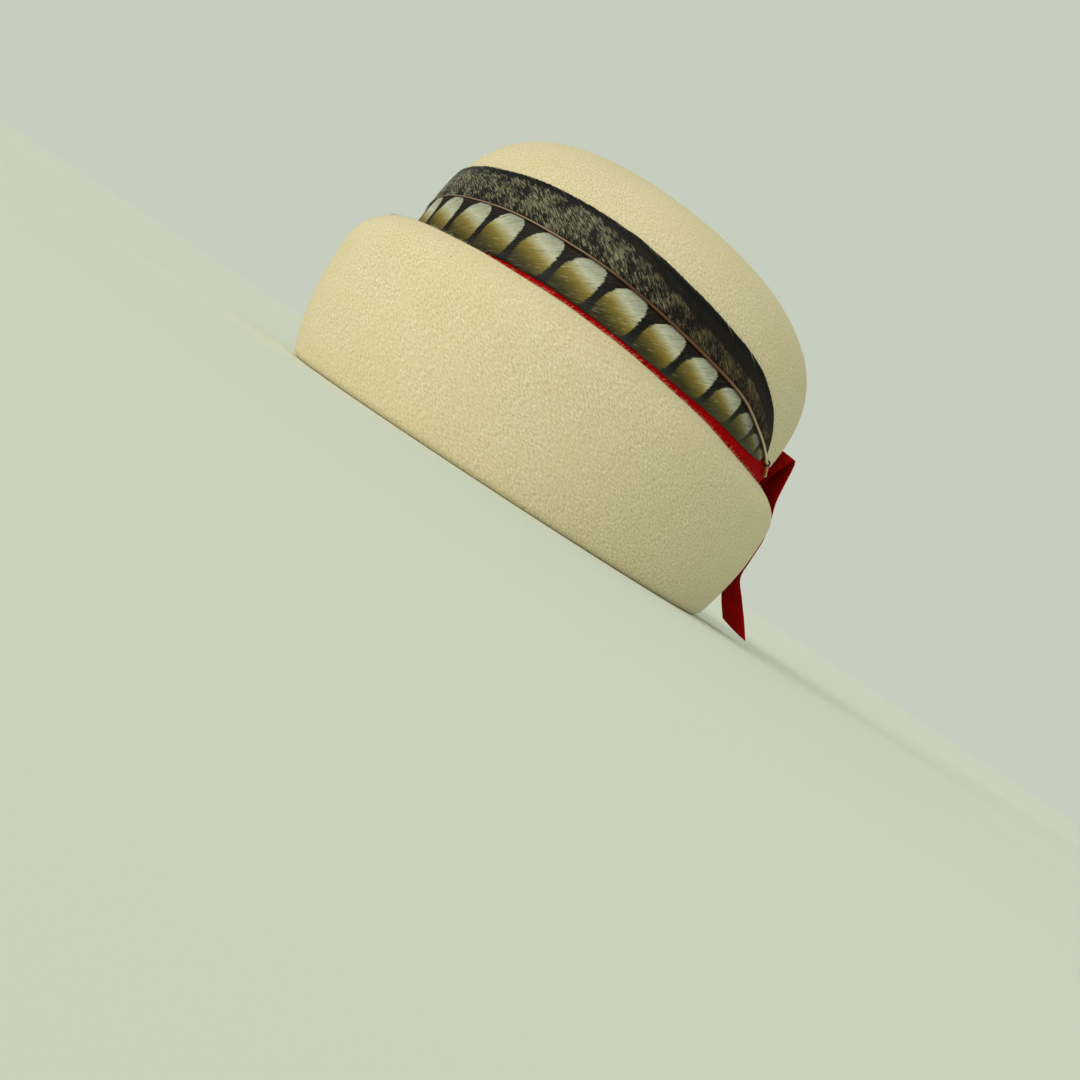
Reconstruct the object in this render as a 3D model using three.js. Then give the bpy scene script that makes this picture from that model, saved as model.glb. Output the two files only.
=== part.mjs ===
// A woman's felt hat: a rounded crown that leans back, a deep brim turned up all round,
// a red ribbon band with one hanging end, and a long feather round the wearer's left side.
// Millimetres. +Z is up, -Y is the front of the hat and +X is the wearer's left.
// The hat stands on the fold of its brim at z = 0.
import * as THREE from "three";

const FELT_THICKNESS = 2.4;
const CLEARANCE = 0.3;

// Inside of the opening for the head, a size that goes 566 mm round.
const HEAD = { halfWidth: 83, halfLength: 97 };

// Inside face of the crown. The dome starts at baseHeight and its axis leans back.
const CROWN = {
  halfWidth: 85.6,
  halfLength: 99.1,
  baseHeight: 87,
  domeHeight: 66,
  roundness: 2.75,
  leanBack: THREE.MathUtils.degToRad(5.3),
};

// Outside face of the turned-up brim, widest at bellyHeight.
const BRIM = {
  halfWidth: 106,
  halfLength: 122,
  bellyHeight: 45,
  frontHeight: 78,
  sideHeight: 80,
  backHeight: 65.5,
  foldInset: 11,
  foldRadius: 5,
  lipRadius: 5,
  topInset: 12,
  topCurl: 4,
  forwardDrift: 1.6 / 60,
};

const RIBBON = { width: 22, thickness: 0.6, topRise: CROWN.baseHeight };

// The feather follows the crown. Angles run in degrees from the wearer's left (0) to the
// back (90) and the front (-90). The shaft's rise is measured from the start of the dome,
// and up and down are the widths of the two vanes there.
const FEATHER = [
  { angle: -100, shaft: -13.0, up: 0.6, down: 0.6 },
  { angle: -95, shaft: -10.4, up: 7.5, down: 6.5 },
  { angle: -88, shaft: -6.8, up: 14.0, down: 12.5 },
  { angle: -79, shaft: -2.6, up: 17.6, down: 16.5 },
  { angle: -65, shaft: 3.0, up: 17.0, down: 18.5 },
  { angle: -50, shaft: 7.2, up: 17.0, down: 18.5 },
  { angle: -35, shaft: 11.2, up: 17.2, down: 18.0 },
  { angle: -20, shaft: 13.6, up: 17.2, down: 17.2 },
  { angle: -5, shaft: 15.0, up: 16.8, down: 17.2 },
  { angle: 10, shaft: 14.2, up: 16.0, down: 16.0 },
  { angle: 25, shaft: 12.9, up: 15.0, down: 14.5 },
  { angle: 40, shaft: 10.8, up: 13.4, down: 11.8 },
  { angle: 50, shaft: 6.5, up: 11.3, down: 8.0 },
  { angle: 58, shaft: 3.0, up: 8.0, down: 4.2 },
  { angle: 65, shaft: -0.5, up: 2.4, down: 1.4 },
];
const VANE = { gap: RIBBON.thickness + 2 * CLEARANCE, thickness: 0.7, steps: 44, across: 3 };
const QUILL = { tipRadius: 0.35, rootRadius: 1.0, sides: 6 };
// The bare root bends down behind the brim's top edge.
const QUILL_ROOT = [
  { angle: 67.2, shaft: -0.9 },
  { angle: 69.3, shaft: -2.1 },
  { angle: 71.6, shaft: -3.6 },
  { angle: 74.2, shaft: -4.9 },
];
const THREAD = { radius: 0.3, loopRadius: 1.65, sweep: THREE.MathUtils.degToRad(112), sides: 6, steps: 12 };

// Centre line of the hanging ribbon end: to the wearer's left of the hat's middle, behind it
// and up from the ground. Turn is how far, in degrees, the edge on the wearer's left is
// swung back, and TAIL_DIP is how much lower than the other edge it lies.
const TAIL = [
  { side: -9, back: 105.3, up: 68.0, turn: 6 },
  { side: -9, back: 105.7, up: 73.5, turn: 7 },
  { side: -9.2, back: 106.6, up: 80.0, turn: 11 },
  { side: -9.4, back: 108.3, up: 87.0, turn: 20 },
  { side: -9.5, back: 109.6, up: 90.4, turn: 23 },
  { side: -9.6, back: 110.6, up: 88.0, turn: 24 },
  { side: -10.2, back: 112.2, up: 78.0, turn: 21 },
  { side: -10.9, back: 114.3, up: 68.5, turn: 16 },
  { side: -11.6, back: 118.8, up: 58.0, turn: 10 },
  { side: -12.2, back: 120.8, up: 49.0, turn: 8 },
  { side: -13.2, back: 121.1, up: 38.0, turn: 8 },
  { side: -14.1, back: 121.4, up: 28.5, turn: 11 },
  { side: -14.7, back: 125.0, up: 20.5, turn: 27 },
  { side: -15.2, back: 130.9, up: 12.0, turn: 35 },
  { side: -15.8, back: 136.9, up: 4.2, turn: 35 },
];
const TAIL_DIP = THREE.MathUtils.degToRad(8);
const TAIL_STEPS = 40;

const AROUND = 64;
const DOME_RINGS = 10;
const { degToRad, lerp, smoothstep } = THREE.MathUtils;

// Geometry helpers

function solid(points, triangles) {
  const geometry = new THREE.BufferGeometry().setFromPoints(points);
  geometry.setIndex(triangles);
  const flat = geometry.toNonIndexed();
  flat.computeVertexNormals();
  return flat;
}

// Joins closed loops of equal length, one after the other, and closes both ends.
function loft(loops) {
  const count = loops[0].length;
  const points = loops.flat();
  const triangles = [];
  for (let i = 0; i + 1 < loops.length; i++) {
    for (let j = 0; j < count; j++) {
      const a = i * count + j;
      const b = i * count + ((j + 1) % count);
      triangles.push(a, b, b + count, a, b + count, a + count);
    }
  }
  const ends = [
    { start: 0, loop: loops[0], turned: true },
    { start: points.length - count, loop: loops[loops.length - 1], turned: false },
  ];
  for (const { start, loop, turned } of ends) {
    const centre = loop.reduce((sum, p) => sum.add(p), new THREE.Vector3());
    const hub = points.push(centre.divideScalar(count)) - 1;
    for (let j = 0; j < count; j++) {
      const a = start + j;
      const b = start + ((j + 1) % count);
      triangles.push(...(turned ? [hub, b, a] : [hub, a, b]));
    }
  }
  return solid(points, triangles);
}

// A body between two grids of points, the back face and the front face.
// A ring is joined from its last row to its first.
function slab(back, front, ring = false) {
  const rows = back.length;
  const columns = back[0].length;
  const points = [...back.flat(), ...front.flat()];
  const at = (side, i, j) => (side * rows + (i % rows)) * columns + j;
  const triangles = [];
  const quad = (a, b, c, d) => triangles.push(a, b, c, a, c, d);
  for (let i = 0; i < (ring ? rows : rows - 1); i++) {
    for (let j = 0; j + 1 < columns; j++) {
      quad(at(1, i, j), at(1, i + 1, j), at(1, i + 1, j + 1), at(1, i, j + 1));
      quad(at(0, i, j), at(0, i, j + 1), at(0, i + 1, j + 1), at(0, i + 1, j));
    }
    quad(at(0, i, 0), at(0, i + 1, 0), at(1, i + 1, 0), at(1, i, 0));
    const last = columns - 1;
    quad(at(1, i, last), at(1, i + 1, last), at(0, i + 1, last), at(0, i, last));
  }
  for (let j = 0; !ring && j + 1 < columns; j++) {
    const last = rows - 1;
    quad(at(0, 0, j), at(1, 0, j), at(1, 0, j + 1), at(0, 0, j + 1));
    quad(at(1, last, j), at(0, last, j), at(0, last, j + 1), at(1, last, j + 1));
  }
  return solid(points, triangles);
}

// A smooth value between the rows of a table, by the column named key.
function between(table, key, column, value) {
  let i = 0;
  while (i < table.length - 2 && value > table[i + 1][key]) i++;
  const rows = [i - 1, i, i + 1, i + 2].map((k) => table[Math.min(Math.max(k, 0), table.length - 1)]);
  const [before, from, to, after] = rows;
  const span = to[key] - from[key];
  const slope = (a, b) => (b[key] === a[key] ? 0 : ((b[column] - a[column]) / (b[key] - a[key])) * span);
  const t = THREE.MathUtils.clamp((value - from[key]) / span, 0, 1);
  const m0 = slope(before, to);
  const m1 = slope(from, after);
  const t2 = t * t;
  const t3 = t2 * t;
  return (
    (2 * t3 - 3 * t2 + 1) * from[column] + (t3 - 2 * t2 + t) * m0 +
    (3 * t2 - 2 * t3) * to[column] + (t3 - t2) * m1
  );
}

// The felt's inside face: crown, lip, fold and the outside of the brim

// An oval that leans back, as a function of the angle round the hat.
function oval(halfWidth, halfLength, centreY, centreZ, lean = 0) {
  return (angle) => {
    const reach = halfLength * Math.sin(angle);
    const x = halfWidth * Math.cos(angle);
    return new THREE.Vector3(x, centreY + reach * Math.cos(lean), centreZ - reach * Math.sin(lean));
  };
}

// Oval of the crown's inside face at a rise along its axis. The wall leans more and more
// from the head opening up to the dome.
function crownOval(rise) {
  const { baseHeight, leanBack, domeHeight, roundness } = CROWN;
  const part = Math.min(rise / baseHeight, 1);
  const lean = leanBack * smoothstep(part, 0, 1);
  const over = Math.max(rise - baseHeight, 0);
  const shrink = (1 - Math.min(over / domeHeight, 1) ** roundness) ** (1 / roundness);
  const shift = baseHeight * Math.sin(leanBack) * (part ** 3 - part ** 4 / 2);
  return oval(
    lerp(HEAD.halfWidth, CROWN.halfWidth, part) * shrink,
    lerp(HEAD.halfLength, CROWN.halfLength, part) * shrink,
    shift + over * Math.sin(lean),
    Math.min(rise, baseHeight) + over * Math.cos(lean),
    lean,
  );
}

function brimHeight(angle) {
  const toBack = Math.sin(angle);
  const ends = (BRIM.frontHeight + BRIM.backHeight) / 2;
  const tilt = (BRIM.backHeight - BRIM.frontHeight) / 2;
  return BRIM.sideHeight + tilt * toBack + (ends - BRIM.sideHeight) * toBack ** 2;
}

// Oval of the brim's outside face, inset from its widest line. Height is a number or a
// function of the angle round the hat.
function brimOval(inset, height) {
  return (angle) => {
    const z = typeof height === "function" ? height(angle) : height;
    const drift = -BRIM.forwardDrift * z;
    return oval(BRIM.halfWidth - inset, BRIM.halfLength - inset, drift, z)(angle);
  };
}

function feltRings() {
  const rings = [];
  for (let i = 1; i <= DOME_RINGS; i++) {
    const sweep = (i / DOME_RINGS) * (Math.PI / 2);
    rings.push(crownOval(CROWN.baseHeight + CROWN.domeHeight * Math.cos(sweep) ** (2 / CROWN.roundness)));
  }
  for (const rise of [62, 38, 18, BRIM.lipRadius]) rings.push(crownOval(rise));
  for (const sweep of [30, 60, 90].map(degToRad)) {
    const out = BRIM.lipRadius * (1 - Math.cos(sweep));
    const up = BRIM.lipRadius * (1 - Math.sin(sweep));
    rings.push(oval(HEAD.halfWidth + out, HEAD.halfLength + out, 0, up));
  }
  const wallStart = degToRad(73);
  for (const share of [0, 0.35, 0.7, 1]) {
    const sweep = wallStart * share;
    const inset = BRIM.foldInset - BRIM.foldRadius * Math.sin(sweep);
    rings.push(brimOval(inset, BRIM.foldRadius * (1 - Math.cos(sweep))));
  }
  const wallFoot = BRIM.foldRadius * (1 - Math.cos(wallStart));
  const wallInset = BRIM.foldInset - BRIM.foldRadius * Math.sin(wallStart);
  for (const share of [0.2, 0.45, 0.7]) {
    rings.push(brimOval(wallInset * (1 - share) ** 2, lerp(wallFoot, BRIM.bellyHeight, share)));
  }
  for (const share of [0, 0.3, 0.52, 0.68, 0.8, 0.9, 1]) {
    const height = (angle) => lerp(BRIM.bellyHeight, brimHeight(angle), share);
    rings.push(brimOval(BRIM.topInset * share ** BRIM.topCurl, height));
  }
  return rings;
}

const turnsOf = (count) => Array.from({ length: count }, (_, i) => (i / count) * 2 * Math.PI);

// Direction from the inside face to the other face, from the points round about.
function faceNormal(rings, index, angle) {
  const along = rings[Math.min(index + 1, rings.length - 1)](angle).sub(rings[Math.max(index - 1, 0)](angle));
  const step = 0.01;
  const round = rings[index](angle + step).sub(rings[index](angle - step));
  return along.cross(round).normalize();
}

function feltBody() {
  const rings = feltRings();
  const turns = turnsOf(AROUND);
  const inside = rings.map((ring) => turns.map(ring));
  const outside = inside.map((loop, i) =>
    loop.map((point, j) => point.clone().addScaledVector(faceNormal(rings, i, turns[j]), FELT_THICKNESS)),
  );
  const last = rings.length - 1;
  const rim = inside[last].map((point, j) => {
    const out = point.clone().sub(inside[last - 1][j]).normalize();
    return point.clone().lerp(outside[last][j], 0.5).addScaledVector(out, FELT_THICKNESS * 0.3);
  });
  return loft([...inside, rim, ...outside.reverse()]);
}

// Point over the crown's outside face, a gap off it. Rise is along the crown's axis.
function overCrown(angle, rise, gap) {
  const step = 0.05;
  const point = crownOval(rise)(angle);
  const along = crownOval(rise - step)(angle).sub(crownOval(rise + step)(angle));
  const round = crownOval(rise)(angle + 0.01).sub(crownOval(rise)(angle - 0.01));
  return point.addScaledVector(along.cross(round).normalize(), FELT_THICKNESS + gap);
}

// Trimmings

function ribbonBand() {
  const rises = [0, 1, 2].map((k) => RIBBON.topRise - RIBBON.width + (k * RIBBON.width) / 2);
  const face = (gap) => turnsOf(AROUND).map((angle) => rises.map((rise) => overCrown(angle, rise, gap)));
  return slab(face(CLEARANCE), face(CLEARANCE + RIBBON.thickness), true);
}

function ribbonTail() {
  const path = new THREE.CatmullRomCurve3(
    TAIL.map(({ side, back, up }) => new THREE.Vector3(side, back, up)),
    false,
    "centripetal",
  );
  const turns = new THREE.CatmullRomCurve3(
    TAIL.map(({ turn }, i) => new THREE.Vector3(i, degToRad(turn), 0)),
    false,
    "centripetal",
  );
  const row = (i, gap) => {
    const at = i / TAIL_STEPS;
    const along = path.getTangentAt(at);
    const turn = turns.getPoint(path.getUtoTmapping(at)).y;
    const level = new THREE.Vector3(Math.cos(turn), Math.sin(turn), 0);
    const across = level.multiplyScalar(Math.cos(TAIL_DIP)).setZ(-Math.sin(TAIL_DIP));
    const normal = across.clone().cross(along).normalize();
    const middle = path.getPointAt(at).addScaledVector(normal, gap);
    return [-0.5, 0, 0.5].map((share) => middle.clone().addScaledVector(across, share * RIBBON.width));
  };
  const face = (gap) => Array.from({ length: TAIL_STEPS + 1 }, (_, i) => row(i, gap));
  return slab(face(RIBBON.thickness / 2), face(-RIBBON.thickness / 2));
}

const shaftRise = (angle) => CROWN.baseHeight + between(FEATHER, "angle", "shaft", angle);

function quillRadius(angle) {
  const first = FEATHER[0].angle;
  const end = QUILL_ROOT[QUILL_ROOT.length - 1].angle;
  return lerp(QUILL.tipRadius, QUILL.rootRadius, (angle - first) / (end - first));
}

// One vane, from the shaft out to its edge. Side is 1 for the upper vane, -1 for the lower.
function vane(side, column) {
  const first = FEATHER[0].angle;
  const last = FEATHER[FEATHER.length - 1].angle;
  const face = (gap) =>
    Array.from({ length: VANE.steps + 1 }, (_, i) => {
      const angle = lerp(first, last, i / VANE.steps);
      const start = quillRadius(angle) + CLEARANCE;
      const width = Math.max(between(FEATHER, "angle", column, angle), 0.4);
      const row = Array.from({ length: VANE.across + 1 }, (_, k) => {
        const rise = shaftRise(angle) + side * (start + (width * k) / VANE.across);
        return overCrown(degToRad(angle), rise, gap);
      });
      return side > 0 ? row : row.reverse();
    });
  return slab(face(VANE.gap), face(VANE.gap + VANE.thickness));
}

// A round rod: each section has a centre, the two directions across it and a radius.
function rod(sections, sides) {
  return loft(
    sections.map(({ centre, across, over, radius }) =>
      turnsOf(sides).map((turn) =>
        centre
          .clone()
          .addScaledVector(across, radius * Math.cos(turn))
          .addScaledVector(over, radius * Math.sin(turn)),
      ),
    ),
  );
}

// The shaft's centre line, from the tip to the bare root, with its radius.
function shaftLine() {
  const first = FEATHER[0].angle;
  const last = FEATHER[FEATHER.length - 1].angle;
  const line = Array.from({ length: VANE.steps + 1 }, (_, i) => {
    const angle = lerp(first, last, i / VANE.steps);
    return { angle, rise: shaftRise(angle) };
  });
  const root = QUILL_ROOT.map(({ angle, shaft }) => ({ angle, rise: CROWN.baseHeight + shaft }));
  return [...line, ...root].map(({ angle, rise }) => {
    const radius = quillRadius(angle);
    return { angle, rise, radius, centre: overCrown(degToRad(angle), rise, VANE.gap + radius) };
  });
}

// Section directions of a line over the crown: along it, across it and away from the crown.
function directions(line, i) {
  const ahead = line[Math.min(i + 1, line.length - 1)].centre;
  const behind = line[Math.max(i - 1, 0)].centre;
  const along = ahead.clone().sub(behind).normalize();
  const { angle, rise, centre } = line[i];
  const outward = overCrown(degToRad(angle), rise, 20).sub(centre);
  const across = outward.cross(along).normalize();
  return { along, across, over: along.clone().cross(across) };
}

function featherQuill() {
  const line = shaftLine();
  return rod(line.map((stop, i) => ({ ...stop, ...directions(line, i) })), QUILL.sides);
}

// A stitch over the bare root of the feather, with both feet on the ribbon.
function threadStitch() {
  const line = shaftLine();
  const index = line.length - QUILL_ROOT.length;
  const { centre } = line[index];
  const { along, across, over } = directions(line, index);
  const sections = Array.from({ length: THREAD.steps + 1 }, (_, i) => {
    const turn = lerp(-THREAD.sweep, THREAD.sweep, i / THREAD.steps);
    const spoke = across.clone().multiplyScalar(Math.sin(turn)).addScaledVector(over, Math.cos(turn));
    return {
      centre: centre.clone().addScaledVector(spoke, THREAD.loopRadius),
      across: spoke,
      over: along,
      radius: THREAD.radius,
    };
  });
  return rod(sections, THREAD.sides);
}

// The hat

function piece(name, geometry, color, roughness) {
  const mesh = new THREE.Mesh(geometry, new THREE.MeshStandardMaterial({ color, roughness, metalness: 0 }));
  mesh.name = name;
  return mesh;
}

const hat = new THREE.Group();
hat.add(piece("felt_body", feltBody(), 0xd9cfa8, 0.95));
hat.add(piece("ribbon_band", ribbonBand(), 0x8e0b10, 0.7));
hat.add(piece("ribbon_tail", ribbonTail(), 0x9a0c10, 0.7));
hat.add(piece("feather_vane_upper", vane(1, "up"), 0x3b3428, 0.6));
hat.add(piece("feather_vane_lower", vane(-1, "down"), 0xa39a68, 0.5));
hat.add(piece("feather_quill", featherQuill(), 0x8a5a34, 0.4));
hat.add(piece("thread_stitch", threadStitch(), 0x14120f, 0.8));

// The middle of the whole hat's box stands over the origin, and its lowest face at z = 0.
const box = new THREE.Box3().setFromObject(hat);
hat.position.set(0, -(box.min.y + box.max.y) / 2, -box.min.z);

export default hat;
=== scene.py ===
import math

import bpy
import numpy as np
from mathutils import Matrix, Vector


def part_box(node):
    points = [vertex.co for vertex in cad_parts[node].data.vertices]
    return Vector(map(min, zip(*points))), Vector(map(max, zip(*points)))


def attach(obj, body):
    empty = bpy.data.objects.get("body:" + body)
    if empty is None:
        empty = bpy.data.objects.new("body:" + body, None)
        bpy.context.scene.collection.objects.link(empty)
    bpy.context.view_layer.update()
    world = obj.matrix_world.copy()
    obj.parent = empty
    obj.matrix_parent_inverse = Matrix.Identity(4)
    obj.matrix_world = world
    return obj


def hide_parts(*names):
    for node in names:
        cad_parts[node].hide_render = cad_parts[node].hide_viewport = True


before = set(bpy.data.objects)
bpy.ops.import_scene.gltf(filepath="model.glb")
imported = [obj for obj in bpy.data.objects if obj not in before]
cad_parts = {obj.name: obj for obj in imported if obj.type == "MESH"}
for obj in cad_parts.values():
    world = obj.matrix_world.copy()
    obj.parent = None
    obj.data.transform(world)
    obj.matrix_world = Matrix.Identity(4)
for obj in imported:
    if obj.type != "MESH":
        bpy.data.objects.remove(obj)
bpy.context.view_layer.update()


def named_rows(names, rows):
    """A table with a name for each column."""
    return [dict(zip(names, row)) for row in rows]


MM = 0.001
FELT_THICKNESS = 2.4
CLEARANCE = 0.3

# Inside of the opening for the head.
HEAD = {"half_width": 83.0, "half_length": 97.0}

# Inside face of the crown. The dome starts at base_height and its axis leans back.
CROWN = {
    "half_width": 85.6,
    "half_length": 99.1,
    "base_height": 87.0,
    "dome_height": 66.0,
    "roundness": 2.75,
    "lean_back": math.radians(5.3),
}

# Outside face of the turned-up brim, widest at belly_height.
BRIM = {
    "half_width": 106.0,
    "half_length": 122.0,
    "belly_height": 45.0,
    "front_height": 78.0,
    "side_height": 80.0,
    "back_height": 65.5,
    "fold_inset": 11.0,
    "fold_radius": 5.0,
    "fold_sweep": math.radians(73),
    "lip_radius": 5.0,
    "top_inset": 12.0,
    "top_curl": 4,
    "forward_drift": 1.6 / 60,
}

# Rings of points on one face of the felt, in turn from the middle of the crown's top to the
# brim's edge, and the points round each ring.
FELT_RINGS = {"dome": 44, "wall": 20, "lip": 8, "fold": 9, "brim_low": 12, "brim_high": 18}
FELT_COLUMNS = 240
EDGE_TURNS = [25, 50, 75, 90, 105, 130, 155]
EDGE_FLATNESS = 0.85

# Small steps, in radians and millimetres, for finding which way a face looks.
ANGLE_STEP = 0.01
RISE_STEP = 0.05

# Slight unevenness, as waves round the hat.
EDGE_WAVES = named_rows(("count", "size", "phase"), [
    (5, 0.25, 0.7),
    (9, 0.18, 2.1),
    (17, 0.10, 4.0),
])
FACE_WAVES = named_rows(("count", "size", "phase"), [
    (3, 0.22, 0.4),
    (7, 0.15, 1.9),
    (11, 0.10, 3.1),
])
BAND_WAVES = named_rows(("count", "size", "phase"), [
    (4, 0.12, 1.0),
    (13, 0.08, 0.2),
])

# Where the felt's faces are uneven: it fades in over fade_in from the height start, and on
# the dome out again over fade_out from the height end.
SWELL = {"size": 0.16, "length": 17}
UNEVEN_DOME = {"start": 125, "fade_in": 15, "end": 140, "fade_out": 12, "share": 0.8}
UNEVEN_BRIM = {"start": 12, "fade_in": 18}

# Loose fibres of the nap. Bend is how far a fibre's end turns aside, as a share of its length.
EDGE_FIBRES = {
    "count": 5200, "shortest": 0.6, "longest": 2.1, "radius": 0.040, "taper": 0.75, "bend": 0.45, "rings": 4,
}
NAP_FIBRES = {
    "count": 15000, "shortest": 0.7, "longest": 2.0, "radius": 0.028, "taper": 0.7, "bend": -0.3, "rings": 3,
}

# The nap: the crown's share of the fibres, how deep they are rooted, how far they point down
# as they run round the hat, how far the brim draws in below its widest line, and the share
# of the dome's height that has room for them.
NAP_ON_CROWN = 0.45
NAP_SUNK = 0.1
NAP_DROOP = 0.45
FOLD_TUCK = 7.0
NEARLY_ALL = 0.995

RIBBON = {"width": 22.0, "top_rise": CROWN["base_height"], "rib_pitch": 0.78}
BAND = {"rows": 720, "columns": 9, "thickness": 0.36, "slack": 0.06, "bulge": 0.06, "unevenness": 0.4}

# The feather follows the crown. Angles run in degrees from the wearer's left (0) to the
# back (90) and the front (-90). The shaft's rise is measured from the start of the dome,
# and up and down are the widths of the two vanes there.
FEATHER = named_rows(("angle", "shaft", "up", "down"), [
    (-100, -13.0, 0.6, 0.6),
    (-95, -10.4, 7.5, 6.5),
    (-88, -6.8, 14.0, 12.5),
    (-79, -2.6, 17.6, 16.5),
    (-65, 3.0, 17.0, 18.5),
    (-50, 7.2, 17.0, 18.5),
    (-35, 11.2, 17.2, 18.0),
    (-20, 13.6, 17.2, 17.2),
    (-5, 15.0, 16.8, 17.2),
    (10, 14.2, 16.0, 16.0),
    (25, 12.9, 15.0, 14.5),
    (40, 10.8, 13.4, 11.8),
    (50, 6.5, 11.3, 8.0),
    (58, 3.0, 8.0, 4.2),
    (65, -0.5, 2.4, 1.4),
])
VANE_GAP = 1.2
QUILL = {
    "tip_radius": 0.35, "root_radius": 1.0, "flatness": 0.92, "sides": 12, "rings": 150, "root_rings": 25,
}
QUILL_ROOT = named_rows(("angle", "shaft"), [
    (67.2, -0.9),
    (69.3, -2.1),
    (71.6, -3.6),
    (74.2, -4.9),
])

# Barbs run from the shaft towards the feather's tip. For each millimetre outwards a barb
# goes slant along the shaft at first and sweep more by its end. Neighbours keep together
# in clumps.
BARBS = {
    "pitch": 0.62, "rings": 15, "slant": 1.15, "sweep": 0.75, "half_width": 0.36, "taper": 0.35,
    "ridge": 0.11,
}
CLUMP = {"length": 5.5, "slant": 0.015, "width": 0.004, "lift": 0.5}
BARB_SPREAD = {"width": 0.005, "lift": 0.025}

# How far a barb's middle lies off the crown past the vane's gap: least at its end, more by
# at_shaft where it starts and by arch halfway, with the whole vane sunk.
BARB_LIFT = {"least": 0.16, "at_shaft": 0.30, "arch": 0.10, "sunk": 0.10}

# Barbs start and end at these shares of the quill's radius, and the lower vane's stand out
# by LOWER_SPARE past its width in the table.
BARB_START = 0.55
BARB_EDGE = 0.45
LOWER_SPARE = 1.3

# Places where the barbs have parted, in millimetres from the root end of the vane.
SPLITS = {"up": [24.0, 41.0], "down": [18.0, 97.0]}
SPLIT = {"reach": 9.0, "falloff": 2.2, "shift": 0.40, "lift": 0.15}

# Middles of the lower vane's pale spots, in degrees round the crown, from tip to root.
SPOTS = [
    -99, -90.5, -81.5, -71.5, -59.7, -47.4, -36.4, -24.2, -11.8, 0.6, 13.2, 25.0, 36.5, 45.8, 53.6, 60, 66,
]
SPOT_LEAN = 0.045
SPOT_DEPTH = 9.0

# The loop of thread round the quill: its place in rings before the quill's end, half the
# turn it makes, and its two twisted plies.
THREAD = {
    "rings_from_end": 20, "loop_radius": 1.45, "half_turn": math.radians(112), "steps": 70, "sides": 8,
    "ply_radius": 0.26, "twist": 9, "twist_out": 0.14, "twist_along": 0.16,
}

# Centre line of the hanging ribbon end: to the wearer's left of the hat's middle, behind it
# and up from the ground. Turn is how far, in degrees, the edge on the wearer's left is
# swung back, and TAIL_DIP is how much lower than the other edge it lies.
TAIL = named_rows(("side", "back", "up", "turn"), [
    (-9, 105.3, 68.0, 6),
    (-9, 105.7, 73.5, 7),
    (-9.2, 106.6, 80.0, 11),
    (-9.4, 108.3, 87.0, 20),
    (-9.5, 109.6, 90.4, 23),
    (-9.6, 110.6, 88.0, 24),
    (-10.2, 112.2, 78.0, 22),
    (-10.9, 114.1, 68.5, 19),
    (-11.6, 118.8, 58.0, 10),
    (-12.2, 120.8, 49.0, 8),
    (-13.2, 121.1, 38.0, 8),
    (-14.1, 121.4, 28.5, 11),
    (-14.7, 125.0, 20.5, 27),
    (-15.2, 130.9, 12.0, 35),
    (-15.8, 136.9, 4.2, 35),
])
TAIL_DIP = math.radians(8)

# The ribbon end's edges curl by up to edge_curl, which sets in past flat_for.
TAIL_SHEET = {"rows": 170, "columns": 13, "thickness": 0.34, "edge_curl": 0.5, "flat_for": 40, "fade_in": 30}

# Angles are in degrees and lengths in millimetres, but nearest and furthest, between which
# things are seen, in metres. The focal length is in pixels of a picture image_width across.
CAMERA = {
    "azimuth": 88.87, "elevation": 2.39, "roll": 33.22, "distance": 680.5, "aim": (0.0, 32.2, -10.4),
    "focal_length": 1406.9, "image_width": 1080, "sensor": 36.0, "nearest": 0.01, "furthest": 30,
}

# Floor, light and surroundings. The floor's radius is in metres, and the colours are screen
# values from 0 to 255.
FLOOR = {"radius": 12.0, "corners": 96, "dark": (222, 228, 220), "pale": (227, 232, 224)}
KEY = {"from": (1.5, -1.45, 0.75), "power": 1.85, "spread": math.radians(50), "colour": (255, 247, 230)}
SURROUNDINGS = {"colour": (228, 235, 218), "power": 0.74}

# The CAD's origin is the middle of the whole box. The felt's own middle drifts forwards.
FELT_DRIFT = 1.2
felt_low, felt_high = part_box("felt_body")
SHIFT_Y = (felt_low.y + felt_high.y) / 2 / MM + FELT_DRIFT

rng = np.random.default_rng(11)


# Numbers

def srgb(red, green, blue):
    """A colour given as screen values from 0 to 255, as Blender's linear colour."""
    def linear(c):
        c /= 255
        return c / 12.92 if c <= 0.04045 else ((c + 0.055) / 1.055) ** 2.4
    return (linear(red), linear(green), linear(blue), 1.0)


def smoothstep(x):
    x = np.clip(x, 0, 1)
    return x * x * (3 - 2 * x)


def unit(vectors):
    return vectors / np.maximum(np.linalg.norm(vectors, axis=-1, keepdims=True), 1e-9)


def run_length(points):
    """Distance along a line of points, from its first one."""
    return np.concatenate([[0], np.cumsum(np.linalg.norm(np.diff(points, axis=0), axis=1))])


def table_curve(table, key, column):
    """A smooth curve through one column of a table, by the column named key."""
    xs = np.array([row[key] for row in table], float)
    ys = np.array([row[column] for row in table], float)
    slopes = np.empty(len(xs))
    slopes[1:-1] = (ys[2:] - ys[:-2]) / (xs[2:] - xs[:-2])
    slopes[0] = (ys[1] - ys[0]) / (xs[1] - xs[0])
    slopes[-1] = (ys[-1] - ys[-2]) / (xs[-1] - xs[-2])

    def value(x):
        x = np.asarray(x, float)
        i = np.clip(np.searchsorted(xs, x) - 1, 0, len(xs) - 2)
        span = xs[i + 1] - xs[i]
        t = np.clip((x - xs[i]) / span, 0, 1)
        t2, t3 = t * t, t * t * t
        return (
            (2 * t3 - 3 * t2 + 1) * ys[i] + (t3 - 2 * t2 + t) * slopes[i] * span
            + (3 * t2 - 2 * t3) * ys[i + 1] + (t3 - t2) * slopes[i + 1] * span
        )
    return value


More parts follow.
